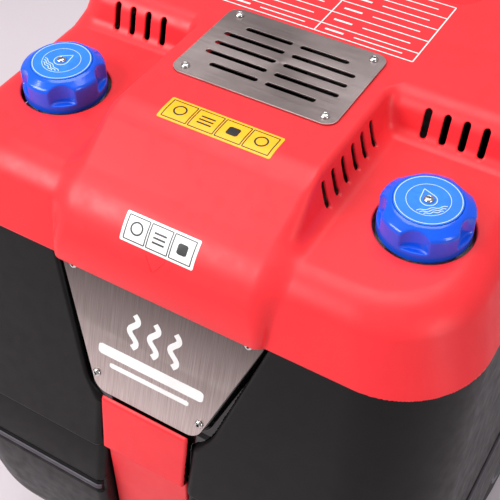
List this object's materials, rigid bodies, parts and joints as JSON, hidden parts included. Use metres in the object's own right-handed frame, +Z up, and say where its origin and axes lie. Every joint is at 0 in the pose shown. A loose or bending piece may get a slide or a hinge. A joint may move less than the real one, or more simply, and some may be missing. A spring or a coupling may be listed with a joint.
{
  "type": "steam cleaner",
  "caption": "Wheeled commercial steam cleaner: black moulded body, red top cover, blue screw caps over water tanks, vented steel plate, push handle and rear console.",
  "frame": {"origin": "on the floor, under the middle of the machine's box", "axes": "+X is to the right for someone facing the machine's front, -Y points out of the front, +Y towards the push handle, +Z up"},
  "size_m": [0.626, 0.8653, 0.9493],
  "materials": {
    "red_plastic": "satin moulded polyethylene with a very fine grain",
    "black_plastic": "semi-gloss moulded polyethylene with a fine grain",
    "black_gloss": "glossy black",
    "blue_plastic": "glossy injection-moulded",
    "cap_disc": "smooth printed disc",
    "brushed_steel": "brushed along its length",
    "polished_steel": "polished stainless steel",
    "rubber": "matt black rubber",
    "tyre": "matt rubber with a shallow tread",
    "painted_steel": "fine-textured dark powder coat",
    "brass": "machined brass",
    "tank_plastic": "milky white polyethylene",
    "grey_plastic": "satin grey",
    "red_knob": "glossy red",
    "green_plastic": "glossy green",
    "black_paint": "matt black",
    "clear_lens": "clear flat lens"
  },
  "bodies": {
    "body": {"top_cover": "red_plastic", "grille_plate": "brushed_steel", "grille_screw_1": "polished_steel", "grille_screw_2": "polished_steel", "grille_screw_3": "polished_steel", "grille_screw_4": "polished_steel", "left_side_shell": "black_plastic", "right_side_shell": "black_plastic", "bumper_strip": "grey_plastic", "front_panel": "black_gloss", "front_strip": "red_plastic", "badge_plate": "brushed_steel", "badge_screw_1": "polished_steel", "badge_screw_2": "polished_steel", "badge_screw_3": "polished_steel", "badge_screw_4": "polished_steel", "left_tank": "tank_plastic", "right_tank": "tank_plastic", "boiler_vessel": "brushed_steel", "heater_flange": "painted_steel", "safety_valve": "brass", "pump_motor": "painted_steel", "pump_head": "brass", "electrical_box": "grey_plastic", "chassis": "painted_steel", "rear_panel": "black_plastic", "left_steam_coupling": "brass", "right_steam_coupling": "brass", "power_gland": "rubber", "drain_valve_body": "brass", "push_handle": "painted_steel", "control_panel": "black_gloss", "gauge_body": "polished_steel", "gauge_lens": "clear_lens", "rear_axle": "painted_steel", "left_caster_plate": "painted_steel", "right_caster_plate": "painted_steel"},
    "left_cap_lift": {"left_cap_gasket": "rubber"},
    "left_cap": {"left_cap": "blue_plastic", "left_cap_disc": "cap_disc", "left_cap_screw": "polished_steel"},
    "right_cap_lift": {"right_cap_gasket": "rubber"},
    "right_cap": {"right_cap": "blue_plastic", "right_cap_disc": "cap_disc", "right_cap_screw": "polished_steel"},
    "needle": {"gauge_needle": "black_paint"},
    "main_switch": {"main_switch_knob": "red_knob"},
    "rocker": {"steam_rocker": "green_plastic"},
    "left_moisture": {"left_moisture_knob": "black_plastic"},
    "right_moisture": {"right_moisture_knob": "black_plastic"},
    "stop_button": {"emergency_stop": "red_knob"},
    "drain_lever": {"drain_valve_lever": "red_knob"},
    "left_wheel": {"left_tyre": "tyre", "left_hub": "grey_plastic"},
    "right_wheel": {"right_tyre": "tyre", "right_hub": "grey_plastic"},
    "left_caster": {"left_caster_fork": "polished_steel"},
    "left_caster_roller": {"left_caster_wheel": "rubber"},
    "right_caster": {"right_caster_fork": "polished_steel"},
    "right_caster_roller": {"right_caster_wheel": "rubber"}
  },
  "joints": [
    {"name": "left_cap_lift", "type": "slide", "parent": "body", "child": "left_cap_lift", "axis": [0, 0, 1], "range_m": [0, 0.0245]},
    {"name": "left_cap_turn", "type": "hinge", "parent": "left_cap_lift", "child": "left_cap", "pos_m": [-0.202, -0.218, 0.75], "axis": [0, 0, 1], "range_deg": [0, 1080]},
    {"name": "right_cap_lift", "type": "slide", "parent": "body", "child": "right_cap_lift", "axis": [0, 0, 1], "range_m": [0, 0.0245]},
    {"name": "right_cap_turn", "type": "hinge", "parent": "right_cap_lift", "child": "right_cap", "pos_m": [0.202, -0.218, 0.75], "axis": [0, 0, 1], "range_deg": [0, 1080]},
    {"name": "gauge_needle_turn", "type": "hinge", "parent": "body", "child": "needle", "pos_m": [0.122, 0.2026, 0.73372], "axis": [0, -0.8183, -0.5747], "range_deg": [0, 270]},
    {"name": "main_switch_turn", "type": "hinge", "parent": "body", "child": "main_switch", "pos_m": [0.062, 0.2026, 0.73372], "axis": [0, -0.8183, -0.5747], "range_deg": [0, 90]},
    {"name": "steam_rocker_tilt", "type": "hinge", "parent": "body", "child": "rocker", "pos_m": [0.014, 0.1985, 0.73085], "axis": [1, 0, 0], "range_deg": [0, 16]},
    {"name": "left_moisture_turn", "type": "hinge", "parent": "body", "child": "left_moisture", "pos_m": [-0.034, 0.2026, 0.73372], "axis": [0, -0.8183, -0.5747], "range_deg": [0, 270]},
    {"name": "right_moisture_turn", "type": "hinge", "parent": "body", "child": "right_moisture", "pos_m": [-0.082, 0.2026, 0.73372], "axis": [0, -0.8183, -0.5747], "range_deg": [0, 270]},
    {"name": "emergency_stop_press", "type": "slide", "parent": "body", "child": "stop_button", "axis": [0, -0.8183, -0.5747], "range_m": [0, 0.004], "stiffness_N_per_m": 600, "springref_m": -0.004},
    {"name": "drain_lever_turn", "type": "hinge", "parent": "body", "child": "drain_lever", "pos_m": [0, 0.249, 0.204], "axis": [0, 0, 1], "range_deg": [0, 90]},
    {"name": "left_wheel_spin", "type": "hinge", "parent": "body", "child": "left_wheel", "pos_m": [-0.278, 0.058, 0.15], "axis": [1, 0, 0], "continuous": true},
    {"name": "right_wheel_spin", "type": "hinge", "parent": "body", "child": "right_wheel", "pos_m": [0.278, 0.058, 0.15], "axis": [1, 0, 0], "continuous": true},
    {"name": "left_caster_swivel", "type": "hinge", "parent": "body", "child": "left_caster", "pos_m": [-0.19, -0.255, 0.12], "axis": [0, 0, 1], "continuous": true},
    {"name": "left_caster_spin", "type": "hinge", "parent": "left_caster", "child": "left_caster_roller", "pos_m": [-0.19, -0.223, 0.05], "axis": [1, 0, 0], "continuous": true},
    {"name": "right_caster_swivel", "type": "hinge", "parent": "body", "child": "right_caster", "pos_m": [0.19, -0.255, 0.12], "axis": [0, 0, 1], "continuous": true},
    {"name": "right_caster_spin", "type": "hinge", "parent": "right_caster", "child": "right_caster_roller", "pos_m": [0.19, -0.223, 0.05], "axis": [1, 0, 0], "continuous": true}
  ],
  "couplings": [
    {"joint": "left_cap_lift", "follows": "left_cap_turn", "m_per_rad": 0.0012732},
    {"joint": "right_cap_lift", "follows": "right_cap_turn", "m_per_rad": 0.0012732}
  ]
}
